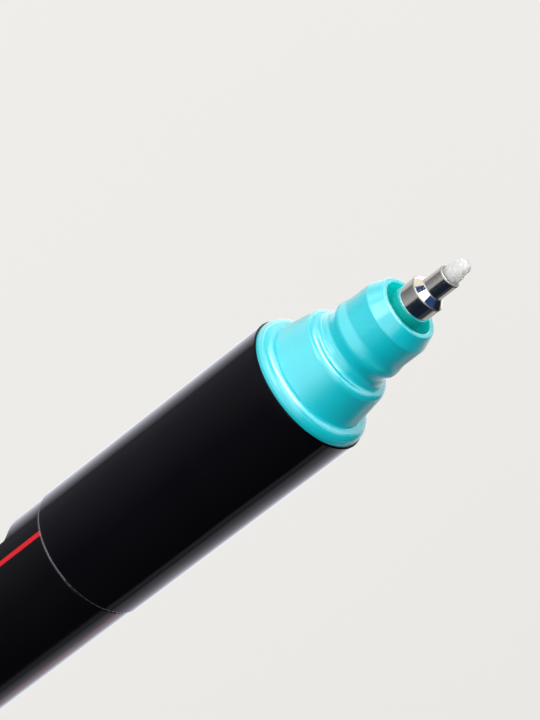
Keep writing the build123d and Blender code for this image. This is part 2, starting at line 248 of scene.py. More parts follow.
def angle_round(tree, axes):
    """Angle round the marker's axis: 0 on the camera's side, -Y, and rising towards +X."""
    return math_node(tree, "ARCTAN2", axes["X"], multiply(tree, axes["Y"], -1.0))


def shade(colour, factor):
    """A colour made lighter or darker."""
    return tuple(channel * factor for channel in colour)


def grey(level):
    """A colour without hue."""
    return (level, level, level)


def new_group(name, inputs, output_names):
    """Makes a shader node group that reads a vector and the given numbers, and puts out numbers."""
    group = bpy.data.node_groups.new(name, "ShaderNodeTree")
    group.interface.new_socket("Vector", in_out="INPUT", socket_type="NodeSocketVector")
    for socket, default in inputs.items():
        made = group.interface.new_socket(socket, in_out="INPUT", socket_type="NodeSocketFloat")
        made.default_value = default
    for socket in output_names:
        group.interface.new_socket(socket, in_out="OUTPUT", socket_type="NodeSocketFloat")
    source = group.nodes.new("NodeGroupInput").outputs
    sink = group.nodes.new("NodeGroupOutput").inputs
    return group, source, sink


def moulded_skin():
    """Group: fine moulding grain as a height, and broad patches from 0 to 1."""
    name = "Moulded skin"
    if name in bpy.data.node_groups:
        return bpy.data.node_groups[name]
    group, source, sink = new_group(
        name, {"Grain scale": 6000.0, "Patch scale": 120.0}, ("Grain", "Patches"))
    grain = new_node(group, "ShaderNodeTexNoise", "grain", Detail=2.0, Roughness=0.55)
    patches = new_node(group, "ShaderNodeTexNoise", "patches", Detail=3.0, Roughness=0.5)
    for noise, scale in ((grain, "Grain scale"), (patches, "Patch scale")):
        group.links.new(source["Vector"], noise.inputs["Vector"])
        group.links.new(source[scale], noise.inputs["Scale"])
    group.links.new(grain.outputs["Fac"], sink["Grain"])
    low, high = 0.3, 0.7
    group.links.new(remap(group, patches.outputs["Fac"], low, high, 0, 1), sink["Patches"])
    return group


def dust_specks():
    """Group: sparse round specks, 1 on a speck and 0 elsewhere; Spread is the share of cells with one."""
    name = "Dust specks"
    if name in bpy.data.node_groups:
        return bpy.data.node_groups[name]
    group, source, sink = new_group(name, {"Scale": 900.0, "Spread": 0.04}, ("Mask",))
    cells = new_node(group, "ShaderNodeTexVoronoi", "cells", Randomness=1.0)
    group.links.new(source["Vector"], cells.inputs["Vector"])
    group.links.new(source["Scale"], cells.inputs["Scale"])
    parts = new_node(group, "ShaderNodeSeparateColor", "cell value")
    group.links.new(cells.outputs["Color"], parts.inputs["Color"])
    chosen = math_node(group, "LESS_THAN", parts.outputs["Red"], source["Spread"])
    core, rim = 0.05, 0.13
    near = remap(group, cells.outputs["Distance"], core, rim, 1, 0, smooth=True)
    group.links.new(multiply(group, chosen, near), sink["Mask"])
    return group


def turning_marks():
    """Group: fine rings round the axis as a height, which is a noise of the place along Z alone."""
    name = "Turning marks"
    if name in bpy.data.node_groups:
        return bpy.data.node_groups[name]
    group, source, sink = new_group(name, {"Rings": 9000.0}, ("Height",))
    along = multiply(group, split(group, source["Vector"])["Z"], source["Rings"])
    rings = new_node(group, "ShaderNodeTexNoise", "rings", Scale=1.0, Detail=3.0, Roughness=0.7)
    rings.noise_dimensions = "1D"
    group.links.new(along, rings.inputs["W"])
    group.links.new(rings.outputs["Fac"], sink["Height"])
    return group


class Finish:
    """A material under construction: its tree, its Principled shader and its Object coordinates."""

    def __init__(self, name):
        self.material = bpy.data.materials.new(name)
        self.material.use_nodes = True
        self.tree = self.material.node_tree
        self.shader = self.tree.nodes["Principled BSDF"]
        self.place = new_node(self.tree, "ShaderNodeTexCoord").outputs["Object"]

    def set(self, **sockets):
        """Sets plain values on the shader."""
        for name, value in sockets.items():
            self.shader.inputs[name.replace("_", " ")].default_value = value

    def link(self, output, socket):
        """Links an output to a socket of the shader."""
        self.tree.links.new(output, self.shader.inputs[socket])

    def group(self, group, **sockets):
        """Places a shared group, reading Object coordinates, and returns its outputs."""
        node = self.tree.nodes.new("ShaderNodeGroup")
        node.node_tree = group
        self.tree.links.new(self.place, node.inputs["Vector"])
        for name, value in sockets.items():
            node.inputs[name.replace("_", " ")].default_value = value
        return node.outputs

    def skin(self, grain, patch):
        """Places the moulded skin, with the scales of its grain and of its patches."""
        outputs = self.group(moulded_skin(), Grain_scale=grain, Patch_scale=patch)
        self.grain = outputs["Grain"]
        self.patches = outputs["Patches"]

    def drift(self, colour, spread):
        """Colour that goes darker and lighter over the patches by the given share."""
        return mix_colour(self.tree, self.patches, shade(colour, 1 - spread), shade(colour, 1 + spread))

    def rough(self, least, most):
        """Roughness that drifts between two values over the patches."""
        return remap(self.tree, self.patches, 0, 1, least, most)

    def axes(self):
        """Object coordinates as three separate numbers."""
        return split(self.tree, self.place)

    def bump(self, height, depth):
        """Bumps the surface by a height from 0 to 1 that is worth the given depth in metres."""
        node = new_node(self.tree, "ShaderNodeBump", Strength=1.0, Distance=depth)
        self.tree.links.new(height, node.inputs["Height"])
        self.link(node.outputs["Normal"], "Normal")

    def dress(self, *nodes):
        """Puts the material on CAD nodes."""
        for name in nodes:
            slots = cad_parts[name].data.materials
            slots.clear()
            slots.append(self.material)


# Front rim of the sleeve without sheen: where it starts and is whole, behind the front edge
RIM_START = 0.16 * MM
RIM_WHOLE = 0.1 * MM


def gloss_black_finish(colours):
    """Glossy moulded black with faint dust and slow waves. Metallic takes the sheen off its front rim,
    because a metal reflects in its own colour, here black."""
    finish = Finish("Gloss black plastic")
    tree = finish.tree
    finish.skin(grain=75.0, patch=90.0)
    dust = finish.group(dust_specks(), Scale=1100.0, Spread=0.006)["Mask"]
    moulded = finish.drift(colours.gloss_black, spread=0.15)
    finish.link(mix_colour(tree, dust, moulded, colours.gloss_dust), "Base Color")
    finish.link(finish.rough(least=0.03, most=0.05), "Roughness")
    # Painted shade: the front rim turns black, without its sheen
    rim = remap(tree, finish.axes()["Z"], SLEEVE_FRONT - RIM_START, SLEEVE_FRONT - RIM_WHOLE, 0, 1)
    finish.link(rim, "Metallic")
    finish.bump(finish.grain, depth=0.1 * MM)
    finish.set(IOR=1.5)
    return finish


# Print: softness of a line's edge as a share of its half width, the depth below which nothing is printed,
# and what the ink adds to the roughness
LINE_EDGE_SHARE = 0.12
PRINT_DEPTH = 0.15 * MM
PRINT_ROUGHNESS = 0.04
# Painted highlight on the barrel's front edge: where it starts and is whole, behind the sleeve's rear end
# and below the barrel's surface, and what it adds to the roughness
HIGHLIGHT_ALONG = (0.15 * MM, 0.11 * MM)
HIGHLIGHT_BELOW = (0.3 * MM, 0.2 * MM)
HIGHLIGHT_ROUGHNESS = 0.35


def printed_lines(tree, axes, radius, sizes):
    """Ink on the lines along the barrel, which are placed by the angle round its axis, and 0 elsewhere."""
    angle = angle_round(tree, axes)
    half = sizes.line_width / BARREL_RADIUS / 2
    edge = half * LINE_EDGE_SHARE
    lines = []
    for middle, ink in ((sizes.upper_line_angle, 1), (sizes.lower_line_angle, sizes.lower_line_ink)):
        off = math_node(tree, "ABSOLUTE", math_node(tree, "SUBTRACT", angle, middle))
        lines.append(remap(tree, off, half - edge, half + edge, ink, 0))
    outside = math_node(tree, "GREATER_THAN", radius, BARREL_RADIUS - PRINT_DEPTH)
    return multiply(tree, highest(tree, *lines), outside)


def satin_black_finish(colours, sizes):
    """Satin moulded black with dust, fine printed lines and a painted highlight on its front edge."""
    finish = Finish("Satin black plastic")
    tree = finish.tree
    finish.skin(grain=5200.0, patch=110.0)
    dust = finish.group(dust_specks(), Scale=1000.0, Spread=0.008)["Mask"]
    axes = finish.axes()
    radius = radius_of(tree, axes)
    lines = printed_lines(tree, axes, radius, sizes)
    # Painted highlight: a pale line on the barrel's front edge, for the light that its rounding catches
    front = remap(tree, axes["Z"], *(SLEEVE_REAR - reach for reach in HIGHLIGHT_ALONG), 0, 1)
    outside = remap(tree, radius, *(BARREL_RADIUS - reach for reach in HIGHLIGHT_BELOW), 0, 1)
    highlight_mask = multiply(tree, front, outside)
    dusty = mix_colour(tree, dust, finish.drift(colours.satin_black, spread=0.15), colours.satin_dust)
    printed = mix_colour(tree, lines, dusty, colours.print_red)
    finish.link(mix_colour(tree, highlight_mask, printed, colours.painted_edge_highlight), "Base Color")
    satin = finish.rough(least=0.12, most=0.16)
    satin = math_node(tree, "MULTIPLY_ADD", lines, PRINT_ROUGHNESS, satin)
    finish.link(math_node(tree, "MULTIPLY_ADD", highlight_mask, HIGHLIGHT_ROUGHNESS, satin), "Roughness")
    finish.bump(finish.grain, depth=1.5 * MICRON)
    finish.set(IOR=1.5)
    return finish


# Painted light in the nose's mouth, for light through its thin walls: the mouth's radius, the ring round it
# in which the lighter colour fades out, and from where to where behind the lip that colour fades in; the
# painted glow, a share of it, fades from the lit side, -X, to the other
MOUTH_RADIUS = 2.98 * MM
MOUTH_FADE = (0.01 * MM, 0.06 * MM)
MOUTH_DEPTH = (5.0 * MM, 2.5 * MM)
PAINTED_GLOW_SIDE = (-2.4 * MM, 1.0 * MM)
PAINTED_GLOW_SHARE = 0.15


def paint_mouth_light(finish, plain, glow):
    """Painted light inside the nose's mouth: a lighter colour and a glow, for light through its thin walls.
    """
    tree = finish.tree
    axes = finish.axes()
    inside = remap(tree, radius_of(tree, axes), *(MOUTH_RADIUS + reach for reach in MOUTH_FADE), 1, 0)
    high = remap(tree, axes["Z"], *(NOSE_LIP - depth for depth in MOUTH_DEPTH), 0, 1)
    mouth = multiply(tree, inside, high)
    # Painted light: a lighter colour inside the mouth
    finish.link(mix_colour(tree, mouth, plain, glow), "Base Color")
    # Painted glow: the mouth glows on its lit side, -X, though it is no lamp
    lit = multiply(tree, mouth, remap(tree, axes["X"], *PAINTED_GLOW_SIDE, 1, 0))
    finish.link(mix_colour(tree, lit, grey(0), shade(glow, PAINTED_GLOW_SHARE)), "Emission Color")
    finish.set(Emission_Strength=1.0)


def moulded_colour_finish(name, colour, depth, sheen, glow=None):
    """Glossy dyed plastic. Green and blue light travels well inside it and red hardly at all; depth is how
    far the light goes, in metres, sheen the coat's IOR, and glow the painted light inside the mouth."""
    finish = Finish(name)
    finish.skin(grain=900.0, patch=160.0)
    dyed = finish.drift(colour, spread=0.03)
    finish.link(dyed, "Base Color")
    if glow:
        paint_mouth_light(finish, dyed, glow)
    finish.link(finish.rough(least=0.3, most=0.36), "Roughness")
    finish.bump(finish.grain, depth=1.0 * MICRON)
    finish.set(IOR=1.58, Specular_IOR_Level=0.12, Coat_Weight=1.0, Coat_Roughness=0.19, Coat_IOR=sheen,
               Subsurface_Weight=0.08, Subsurface_Radius=(0.1, 1.0, 1.05), Subsurface_Scale=depth)
    return finish


# Edges of the metal sheath, darkened by painted shade: how far behind its front end, and half the width
# of each; then their softness, the share of the metal's colour that they keep under the painted shade,
# and what they add to the roughness
FERRULE_EDGES = ((3.04 * MM, 0.08 * MM), (2.26 * MM, 0.06 * MM), (0.05 * MM, 0.11 * MM))
EDGE_SOFTNESS = 0.03 * MM
EDGE_SHADE = 0.3
EDGE_ROUGHNESS = 0.3


def polished_metal_finish(colour):
    """Turned and polished bright metal, duller on its edges and darkened there by painted shade."""
    finish = Finish("Polished metal")
    tree = finish.tree
    finish.skin(grain=700.0, patch=500.0)
    height = finish.axes()["Z"]
    edges = highest(tree, *(
        window(tree, height, FERRULE_TIP - behind - reach, FERRULE_TIP - behind + reach, EDGE_SOFTNESS)
        for behind, reach in FERRULE_EDGES))
    metal = finish.drift(colour, spread=0.03)
    # Painted shade: the edges take a darker copy of the metal's colour
    finish.link(mix_colour(tree, edges, metal, shade(colour, EDGE_SHADE)), "Base Color")
    polish = finish.rough(least=0.06, most=0.09)
    finish.link(math_node(tree, "MULTIPLY_ADD", edges, EDGE_ROUGHNESS, polish), "Roughness")
    finish.bump(finish.group(turning_marks(), Rings=9000.0)["Height"], depth=0.2 * MICRON)
    finish.set(Metallic=1.0)
    return finish


def plain_finish(name, colour, spread, scales, roughness, depth):
    """Finish with one colour: scales are those of grain and patches, roughness its least and most, and depth
    that of the grain in metres."""
    finish = Finish(name)
    finish.skin(*scales)
    finish.link(finish.drift(colour, spread), "Base Color")
    finish.link(finish.rough(*roughness), "Roughness")
    finish.bump(finish.grain, depth)
    return finish


def steel_finish(colour):
    """Drawn or ground steel."""
    finish = plain_finish("Steel", colour, spread=0.06, scales=(3000.0, 400.0), roughness=(0.16, 0.28),
                          depth=2.0 * MICRON)
    finish.set(Metallic=1.0)
    return finish


def nib_finish(colour):
    """Translucent white nib with a dull, slightly fibrous surface."""
    finish = plain_finish("Nib white", colour, spread=0.03, scales=(2500.0, 900.0), roughness=(0.5, 0.6),
                          depth=1.5 * MICRON)
    finish.set(IOR=1.35, Transmission_Weight=0.4, Subsurface_Weight=1.0, Subsurface_Radius=(1.0, 1.0, 0.95),
               Subsurface_Scale=3.0 * MM)
    return finish


def natural_plastic_finish(colour):
    """Uncoloured plastic, slightly milky."""
    finish = plain_finish("Natural plastic", colour, spread=0.04, scales=(4000.0, 250.0),
                          roughness=(0.3, 0.42), depth=3.0 * MICRON)
    finish.set(Subsurface_Weight=0.4, Subsurface_Scale=0.8 * MM)
    return finish


def rubber_finish(colour):
    """Dull black rubber with a fine grain."""
    return plain_finish("Seal rubber", colour, spread=0.2, scales=(7000.0, 300.0), roughness=(0.55, 0.7),
                        depth=6.0 * MICRON)


def fibre_finish(colour):
    """Bonded fibre: fine strands along the axis."""
    finish = Finish("Bonded fibre")
    stretch = new_node(finish.tree, "ShaderNodeMapping", "strands", Scale=(1.0, 1.0, 0.04))
    finish.tree.links.new(finish.place, stretch.inputs["Vector"])
    strands = new_node(finish.tree, "ShaderNodeTexNoise", "strands", Scale=9000.0, Detail=3.0)
    finish.tree.links.new(stretch.outputs["Vector"], strands.inputs["Vector"])
    finish.patches = strands.outputs["Fac"]
    finish.link(finish.drift(colour, spread=0.12), "Base Color")
    finish.bump(finish.patches, depth=10.0 * MICRON)
    finish.set(Roughness=0.8, Subsurface_Weight=0.3, Subsurface_Scale=0.5 * MM)
    return finish


# Points nearer than this become one
MERGE_STEP = 0.1 * MICRON


def ring_faces(rows, columns, outward=True):
    """Quads between the rows of a grid whose columns close to a ring."""
    row, column = np.meshgrid(np.arange(rows - 1), np.arange(columns), indexing="ij")
    after = (column + 1) % columns
    corners = [row * columns + column, (row + 1) * columns + column,
               (row + 1) * columns + after, row * columns + after]
    if not outward:
        corners = [corners[3], corners[2], corners[1], corners[0]]
    return np.stack(corners, axis=-1).reshape(-1, 4)


def swept_ring(along, across, place):
    """Mesh of a closed profile carried along an open path: place(u, v) gives points on a grid of along by
    across, with rows joined round the profile, and draws the first and last rows together to a point."""
    u, v = np.meshgrid(np.linspace(0, 1, along), np.arange(across) / across, indexing="ij")
    return place(u, v).reshape(-1, 3), ring_faces(along, across)


def mesh_piece(name, points, faces, material):
    """Puts a grid into a new mesh object with smooth shading; points that coincide become one, which closes
    the poles."""
    keys = np.round(points / MERGE_STEP).astype(np.int64)
    _, first, place = np.unique(keys, axis=0, return_index=True, return_inverse=True)
    corners = [list(dict.fromkeys(face)) for face in place.reshape(-1)[faces].tolist()]
    mesh = bpy.data.meshes.new(name)
    mesh.from_pydata(points[first].tolist(), [], [face for face in corners if len(face) > 2])
    mesh.materials.append(material)
    piece = bpy.data.objects.new(name, mesh)
    bpy.context.scene.collection.objects.link(piece)
    mesh.shade_smooth()
    return piece


class MARKER_OT_barrel(bpy.types.Operator):
    """Finishes the barrel"""

    bl_idname = "marker.barrel"
    bl_label = "Barrel"

    def execute(self, context):
        scene = context.scene
        satin_black_finish(scene.marker_colours, scene.marker_sizes).dress("barrel")
        return {"FINISHED"}


# Neck thread: how far its profile's middle lies inside the neck, the depth of its foot as a share of its
# height, the part of a turn over which an end fades, points in a turn and points round the profile
THREAD_SINK = 0.02 * MM
THREAD_FOOT_SHARE = 0.4
THREAD_FADE_TURNS = 0.2
THREAD_STEPS = 96
THREAD_SIDES = 20


class MARKER_OT_thread(bpy.types.Operator):
    """Adds the screw thread round the barrel's neck"""

    bl_idname = "marker.thread"
    bl_label = "Neck thread"

    def execute(self, context):
        sizes = context.scene.marker_sizes
        turns = sizes.thread_turns
        start = SLEEVE_REAR + sizes.thread_margin

        def place(u, v):
            """Ridge: the profile's half sine stands on the neck, its foot lies just inside, and both fade at
            the ends."""
            turn = u * turns * FULL_TURN
            fade = np.clip(np.minimum(u, 1 - u) * turns / THREAD_FADE_TURNS, 0, 1)
            rise = np.sin(v * FULL_TURN)
            lift = np.where(rise > 0, rise, rise * THREAD_FOOT_SHARE) * sizes.thread_height
            radius = NECK_RADIUS - THREAD_SINK + lift * fade
            height = start + u * turns * sizes.thread_pitch
            height = height - np.cos(v * FULL_TURN) * sizes.thread_width / 2 * fade
            return np.stack([radius * np.sin(turn), -radius * np.cos(turn), height], axis=-1)

        points, faces = swept_ring(int(turns * THREAD_STEPS), THREAD_SIDES, place)
        thread = mesh_piece("neck_thread", points, faces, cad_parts["barrel"].data.materials[0])
        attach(thread, "barrel")
        return {"FINISHED"}


class MARKER_OT_sleeve(bpy.types.Operator):
    """Finishes the glossy front sleeve"""

    bl_idname = "marker.sleeve"
    bl_label = "Front sleeve"

    def execute(self, context):
        gloss_black_finish(context.scene.marker_colours).dress("front_sleeve")
        return {"FINISHED"}


class MARKER_OT_nose(bpy.types.Operator):
    """Finishes the nose, the tip holder inside it and the rear plug"""

    bl_idname = "marker.nose"
    bl_label = "Nose"

    def execute(self, context):
        colours = context.scene.marker_colours
        nose = moulded_colour_finish(
            "Turquoise plastic", colours.turquoise, depth=1.5 * MM, sheen=1.68, glow=colours.mouth)
        nose.dress("nose_cone", "rear_plug")
        holder = moulded_colour_finish("Teal plastic", colours.teal, depth=1.2 * MM, sheen=1.35)
        holder.dress("tip_holder")
        return {"FINISHED"}


class MARKER_OT_tip(bpy.types.Operator):
    """Finishes the metal sheath, the nib and the feed rod"""

    bl_idname = "marker.tip"
    bl_label = "Tip"

    def execute(self, context):
        colours = context.scene.marker_colours
        polished_metal_finish(colours.bright_metal).dress("ferrule")
        nib_finish(colours.nib_white).dress("nib")
        fibre_finish(colours.natural).dress("feed_rod")
        return {"FINISHED"}


class MARKER_OT_valve(bpy.types.Operator):
    """Finishes the valve, its seals and spring, and the mixing ball"""

    bl_idname = "marker.valve"
    bl_label = "Valve and ball"

    def execute(self, context):
        colours = context.scene.marker_colours
        natural_plastic_finish(colours.natural).dress("valve_body", "valve_stem", "valve_cage")
        rubber_finish(colours.rubber).dress("spout_seal", "neck_gasket", "valve_seal")
        steel_finish(colours.steel).dress("valve_spring", "mixing_ball")
        return {"FINISHED"}


# Valve spring: points in a turn and points round the wire
SPRING_STEPS = 64
SPRING_SIDES = 16


class MARKER_OT_spring(bpy.types.Operator):
    """Adds the valve spring as a coil that rides with the valve unit, in place of the packed solid"""

    bl_idname = "marker.spring"
    bl_label = "Valve spring"

    def execute(self, context):
        sizes = context.scene.marker_sizes
        low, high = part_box("valve_spring")
        wire = sizes.spring_wire
        reach = high.x - wire
        turns = sizes.spring_turns

        def place(u, v):
            """Tube round a helix: a circle of the wire's radius, rounded off at both ends, across a rising
            turn."""
            turn = u * turns * FULL_TURN
            cap = np.clip(np.minimum(u, 1 - u) * turns * FULL_TURN * reach / wire, 0, 1)
            thick = wire * np.sqrt(1 - (1 - cap) ** 2)
            around = v * FULL_TURN
            radius = reach + thick * np.cos(around)
            height = low.z + wire + u * (high.z - low.z - 2 * wire) + thick * np.sin(around)
            return np.stack([radius * np.cos(turn), radius * np.sin(turn), height], axis=-1)

        points, faces = swept_ring(int(turns * SPRING_STEPS), SPRING_SIDES, place)
        coil = mesh_piece("valve_coil", points, faces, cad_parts["valve_spring"].data.materials[0])
        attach(coil, "valve_unit")
        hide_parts("valve_spring")
        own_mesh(coil)
        return {"FINISHED"}


# Camera: width of its sensor in millimetres, and the nearest and farthest that it sees in metres
SENSOR_WIDTH = 36
CLIP_START = 0.01
CLIP_END = 50


def add_camera(stage):
    """Camera at the photograph's angle: it looks down by the tilt and is rolled so that the axis rises to the
    right."""
    forward = Vector((0, math.cos(stage.tilt), -math.sin(stage.tilt)))
    upward = Vector((0, math.sin(stage.tilt), math.cos(stage.tilt)))
    sideways = Vector((1, 0, 0))
    right = upward * math.cos(stage.axis_angle) + sideways * math.sin(stage.axis_angle)
    top = upward * math.sin(stage.axis_angle) - sideways * math.cos(stage.axis_angle)
    place = NOSE_FOOT - right * stage.aside + top * stage.below - forward * stage.depth
    data = bpy.data.cameras.new("Camera")
    data.sensor_width = SENSOR_WIDTH
    data.lens = stage.lens
    data.clip_start = CLIP_START
    data.clip_end = CLIP_END
    camera = bpy.data.objects.new("Camera", data)
    turn = Matrix((right, top, -forward)).transposed().to_4x4()
    camera.matrix_world = Matrix.Translation(place) @ turn
    bpy.context.scene.collection.objects.link(camera)
    bpy.context.scene.camera = camera


# Soft lamps. What lights the top is not reflected, because the room overhead already is
LAMPS = {
    "marker_top_box": {
        "azimuth": math.radians(-20), "elevation": math.radians(80), "distance": 0.5,
        "width": 0.34, "height": 0.24, "radiance": 2.8, "polished": False,
    },
    "marker_window_box": {
        "azimuth": math.radians(-48), "elevation": math.radians(18), "distance": 0.6,
        "width": 0.46, "height": 0.26, "radiance": 3.0, "polished": True,
    },
}


def place_lamps(scene):
    """Gives the lamps their directions, sizes and brightness."""
    for box, settings in LAMPS.items():
        for name, value in settings.items():
            setattr(getattr(scene, box), name, value)


def direction(azimuth, elevation):
    """Unit vector: azimuth 0 points at the camera's side, -Y, and turns towards +X."""
    return Vector((math.sin(azimuth) * math.cos(elevation), -math.cos(azimuth) * math.cos(elevation),
                   math.sin(elevation)))


def add_softbox(name, box):
    """Area lamp of the given radiance that faces the nose."""
    lamp = bpy.data.lights.new(name, "AREA")
    lamp.shape = "RECTANGLE"
    lamp.size = box.width
    lamp.size_y = box.height
    lamp.energy = box.radiance * math.pi * box.width * box.height
    holder = bpy.data.objects.new(name, lamp)
    toward = direction(box.azimuth, box.elevation)
    holder.location = NOSE_FOOT + toward * box.distance
    holder.rotation_euler = toward.to_track_quat("Z", "Y").to_euler()
    holder.visible_camera = False
    holder.visible_glossy = box.polished
    bpy.context.scene.collection.objects.link(holder)


# What polished surfaces see on the ground, from near the marker outwards: angle from the camera's side
# towards +X in degrees, and brightness
NEAR_RING = (
    (-180, 1.5), (-150, 1.38), (-141, 1.22), (-132, 1.0), (-126.5, 0.78), (-121, 0.56), (-117.5, 0.4),
    (-115.5, 0.2), (-112, 0.17), (-106, 0.2), (-60, 0.12), (-25, 0.03), (-10, 0), (90, 0), (93, 0.1),
    (95, 0.19), (99.5, 0.17), (102, 0.07), (104.5, 0.2), (108, 0.33), (117, 0.44), (126, 0.62), (138, 0.87),
    (145, 1.06), (153, 1.3), (180, 1.5),
)
GUIDE_RING = (
    (-180, 1.0), (-110, 1.4), (-84, 2.4), (-40, 2.6), (0, 1.1), (22, 0.03), (150, 0.03), (180, 1.2),
)
MIDDLE_RING = (
    (-180, 0.85), (-118, 0.6), (-106, 0.5), (-104, 0.34), (-92, 0.16), (-60, 0.26), (-24, 0.42), (-16, 0.16),
    (-11, 0.0), (76, 0.0), (82, 0.06), (88, 0.02), (100, 0.02), (108, 0.25), (128, 0.58), (142, 0.3),
    (165, 0.6), (180, 0.85),
)
FAR_RING = (
    (-180, 1.5), (-135, 1.4), (-100, 1.8), (-60, 2.5), (-10, 2.4), (10, 1.2), (26, 0.3), (40, 0.02),
    (116, 0.02), (126, 0.4), (150, 0.8), (180, 1.6),
)
# Light that the ground throws back at the marker
BOUNCE_RING = (
    (-180, 0.5), (-140, 0.6), (-60, 0.6), (-20, 0.5), (12, 0.35), (42, 0.03), (150, 0.02), (180, 0.5),
)
NEAR_TINT = (0.97, 0.97, 1.1)
MIDDLE_TINT = (1.0, 0.97, 0.93)
PLAIN_TINT = (1.0, 1.0, 1.0)
CARD_SHADE = (0.0035, 0.0045, 0.0065)
MIDDLE_SHADE = (0.009, 0.016, 0.028)
RING_STRENGTH = 2.6
# Radii between which the cards lie, in metres, their height above the floor and their grid
CARD_START = 8.5 * MM
GUIDE_START = 0.245
MIDDLE_START = 0.262
FAR_START = 0.36
FAR_END = 1.52
BOUNCE_END = 1.2
CARD_HEIGHT = 1.0 * MM
CARD_GRID = (12, 96)
# Unevenness of the rings: scale of its noise, and how far it shifts a ring's angle, in radians
UNEVEN_SCALE = 14.0
UNEVEN_ANGLE = 0.04


def emission_material(name):
    """Material with an Emission shader alone; returns it with its tree and the shader."""
    material = bpy.data.materials.new(name)
    material.use_nodes = True
    tree = material.node_tree
    tree.nodes.remove(tree.nodes["Principled BSDF"])
    glow = new_node(tree, "ShaderNodeEmission", Strength=1.0)
    tree.links.new(glow.outputs["Emission"], tree.nodes["Material Output"].inputs["Surface"])
    return material, tree, glow


def object_place(tree):
    """Object coordinates."""
    return new_node(tree, "ShaderNodeTexCoord").outputs["Object"]


def card_material(name, ring, tint, least):
    """Card whose brightness follows a ring of levels by the angle round the marker, a little unevenly."""
    material, tree, glow = emission_material(name)
    place = object_place(tree)
    uneven = new_node(tree, "ShaderNodeTexNoise", "uneven edge", Scale=UNEVEN_SCALE, Detail=1.0)
    tree.links.new(place, uneven.inputs["Vector"])
    shift = remap(tree, uneven.outputs["Fac"], 0, 1, -UNEVEN_ANGLE, UNEVEN_ANGLE)
    angle = math_node(tree, "ADD", angle_round(tree, split(tree, place)), shift)
    tones = new_node(tree, "ShaderNodeValToRGB", "ring")
    ramp = tones.color_ramp
    while len(ramp.elements) < len(ring):
        ramp.elements.new(1.0)
    for element, (degrees, level) in zip(ramp.elements, ring):
        element.position = degrees / 360 + 0.5
        element.color = (*((tone * level + low) / RING_STRENGTH for tone, low in zip(tint, least)), 1)
    tree.links.new(remap(tree, angle, -math.pi, math.pi, 0, 1), tones.inputs["Fac"])
    tree.links.new(tones.outputs["Color"], glow.inputs["Color"])
    glow.inputs["Strength"].default_value = RING_STRENGTH
    return material


def disc(inner, outer, rings, spokes, height):
    """Flat ring of quads about the axis, from an inner to an outer radius, denser near the middle."""
    reach = inner + (outer - inner) * np.linspace(0, 1, rings) ** 2
    radius, angle = np.meshgrid(reach, np.arange(spokes) / spokes * FULL_TURN, indexing="ij")
    flat = np.full_like(radius, height)
    points = np.stack([radius * np.cos(angle), radius * np.sin(angle), flat], axis=-1)
    return points.reshape(-1, 3), ring_faces(rings, spokes)


def add_card(name, inner, outer, ring, tint=PLAIN_TINT, least=CARD_SHADE):
    """Card just above the floor, out of the camera's sight."""
    points, faces = disc(inner, outer, *CARD_GRID, CARD_HEIGHT)
    card = mesh_piece(name, points, faces, card_material(name, ring, tint, least))
    card.visible_camera = False
    card.visible_shadow = False
    return card


def add_cards():
    """The ground as polished surfaces see it, in four cards, and the light that it throws back in a fifth."""
    for card in (
            add_card("near_card", CARD_START, GUIDE_START, NEAR_RING, NEAR_TINT),
            add_card("guide_card", GUIDE_START, MIDDLE_START, GUIDE_RING),
            add_card("middle_card", MIDDLE_START, FAR_START, MIDDLE_RING, MIDDLE_TINT, MIDDLE_SHADE),
            add_card("far_card", FAR_START, FAR_END, FAR_RING)):
        card.visible_diffuse = False
    add_card("bounce_card", CARD_START, BOUNCE_END, BOUNCE_RING).visible_glossy = False


# The room by direction, in bands of lowest angle, highest angle and softness in degrees: azimuth from the
# camera's side towards +X, and elevation. The front's sides and top come with each use of it
FRONT_SOFTNESS = 12
FRONT_FOOT = -20
FRONT_TOP_SOFTNESS = 3
WALL_UP = (9, 44, 3)
LEFT_WALL = (-190, -86, 3)
BACK_WALL = (156, 190, 6)
CORNER = (-190, -146, 6)
DARK_WALL_GAP = 20
DARK_WALL_END = 150
DARK_WALL_SOFTNESS = 8
DARK_WALL_UP = (-20, 37, 4)
LOW_STRIP_UP = (-20, 3, 3)
# Flags lie in two bands of azimuth, and slope down by this share of it
FLAG_SIDES = ((-100, -49, 3), (33, 120, 3))
FLAG_UP = (68, 93, 2)
FLAG_SLOPE_SHARE = 0.45
CREAM_LIGHT = (1.08, 0.98, 0.84)
CORNER_LIGHT = grey(1.5)
DARK_WALL_LIGHT = (0.018, 0.018, 0.022)
LOW_LIGHT = (0.7, 0.7, 0.69)
# Front as polished surfaces see it, and as it lights the marker: colour, left edge, right edge and top
POLISHED_FRONT = ((1.75, 1.75, 1.72), -82, 10, 41)
LIT_FRONT = (grey(2.03), -50, 20, 58)
POLISHED_FLAG = (0.026, 0.066, 0.2)
LIT_FLAG = (0.32, 0.32, 0.34)
LIT_OVERHEAD = (0.42, 0.42, 0.43)
# Ceiling as polished surfaces see it, by the slope of the direction towards +X, and a bright strip in it, by
# the slopes towards +X and +Y
CEILING_FALL = (-0.2, 0.9)
CEILING_LEFT = grey(4.2)
CEILING_RIGHT = grey(1.3)
STRIP_ACROSS = (-0.95, 0.15, 0.04)
STRIP_ALONG = (-0.25, 0.3, 0.04)
STRIP_LIGHT = grey(14.0)
# Half sphere that carries the room: its radius, the angle of its foot in radians, and its grid
DOME_RADIUS = 1.5
DOME_FOOT = -0.05
DOME_GRID = (24, 64)


def band(tree, value, low, high, soft):
    """1 where the value lies between two angles in degrees, with soft edges, and 0 outside."""
    return window(tree, value, math.radians(low), math.radians(high), math.radians(soft))


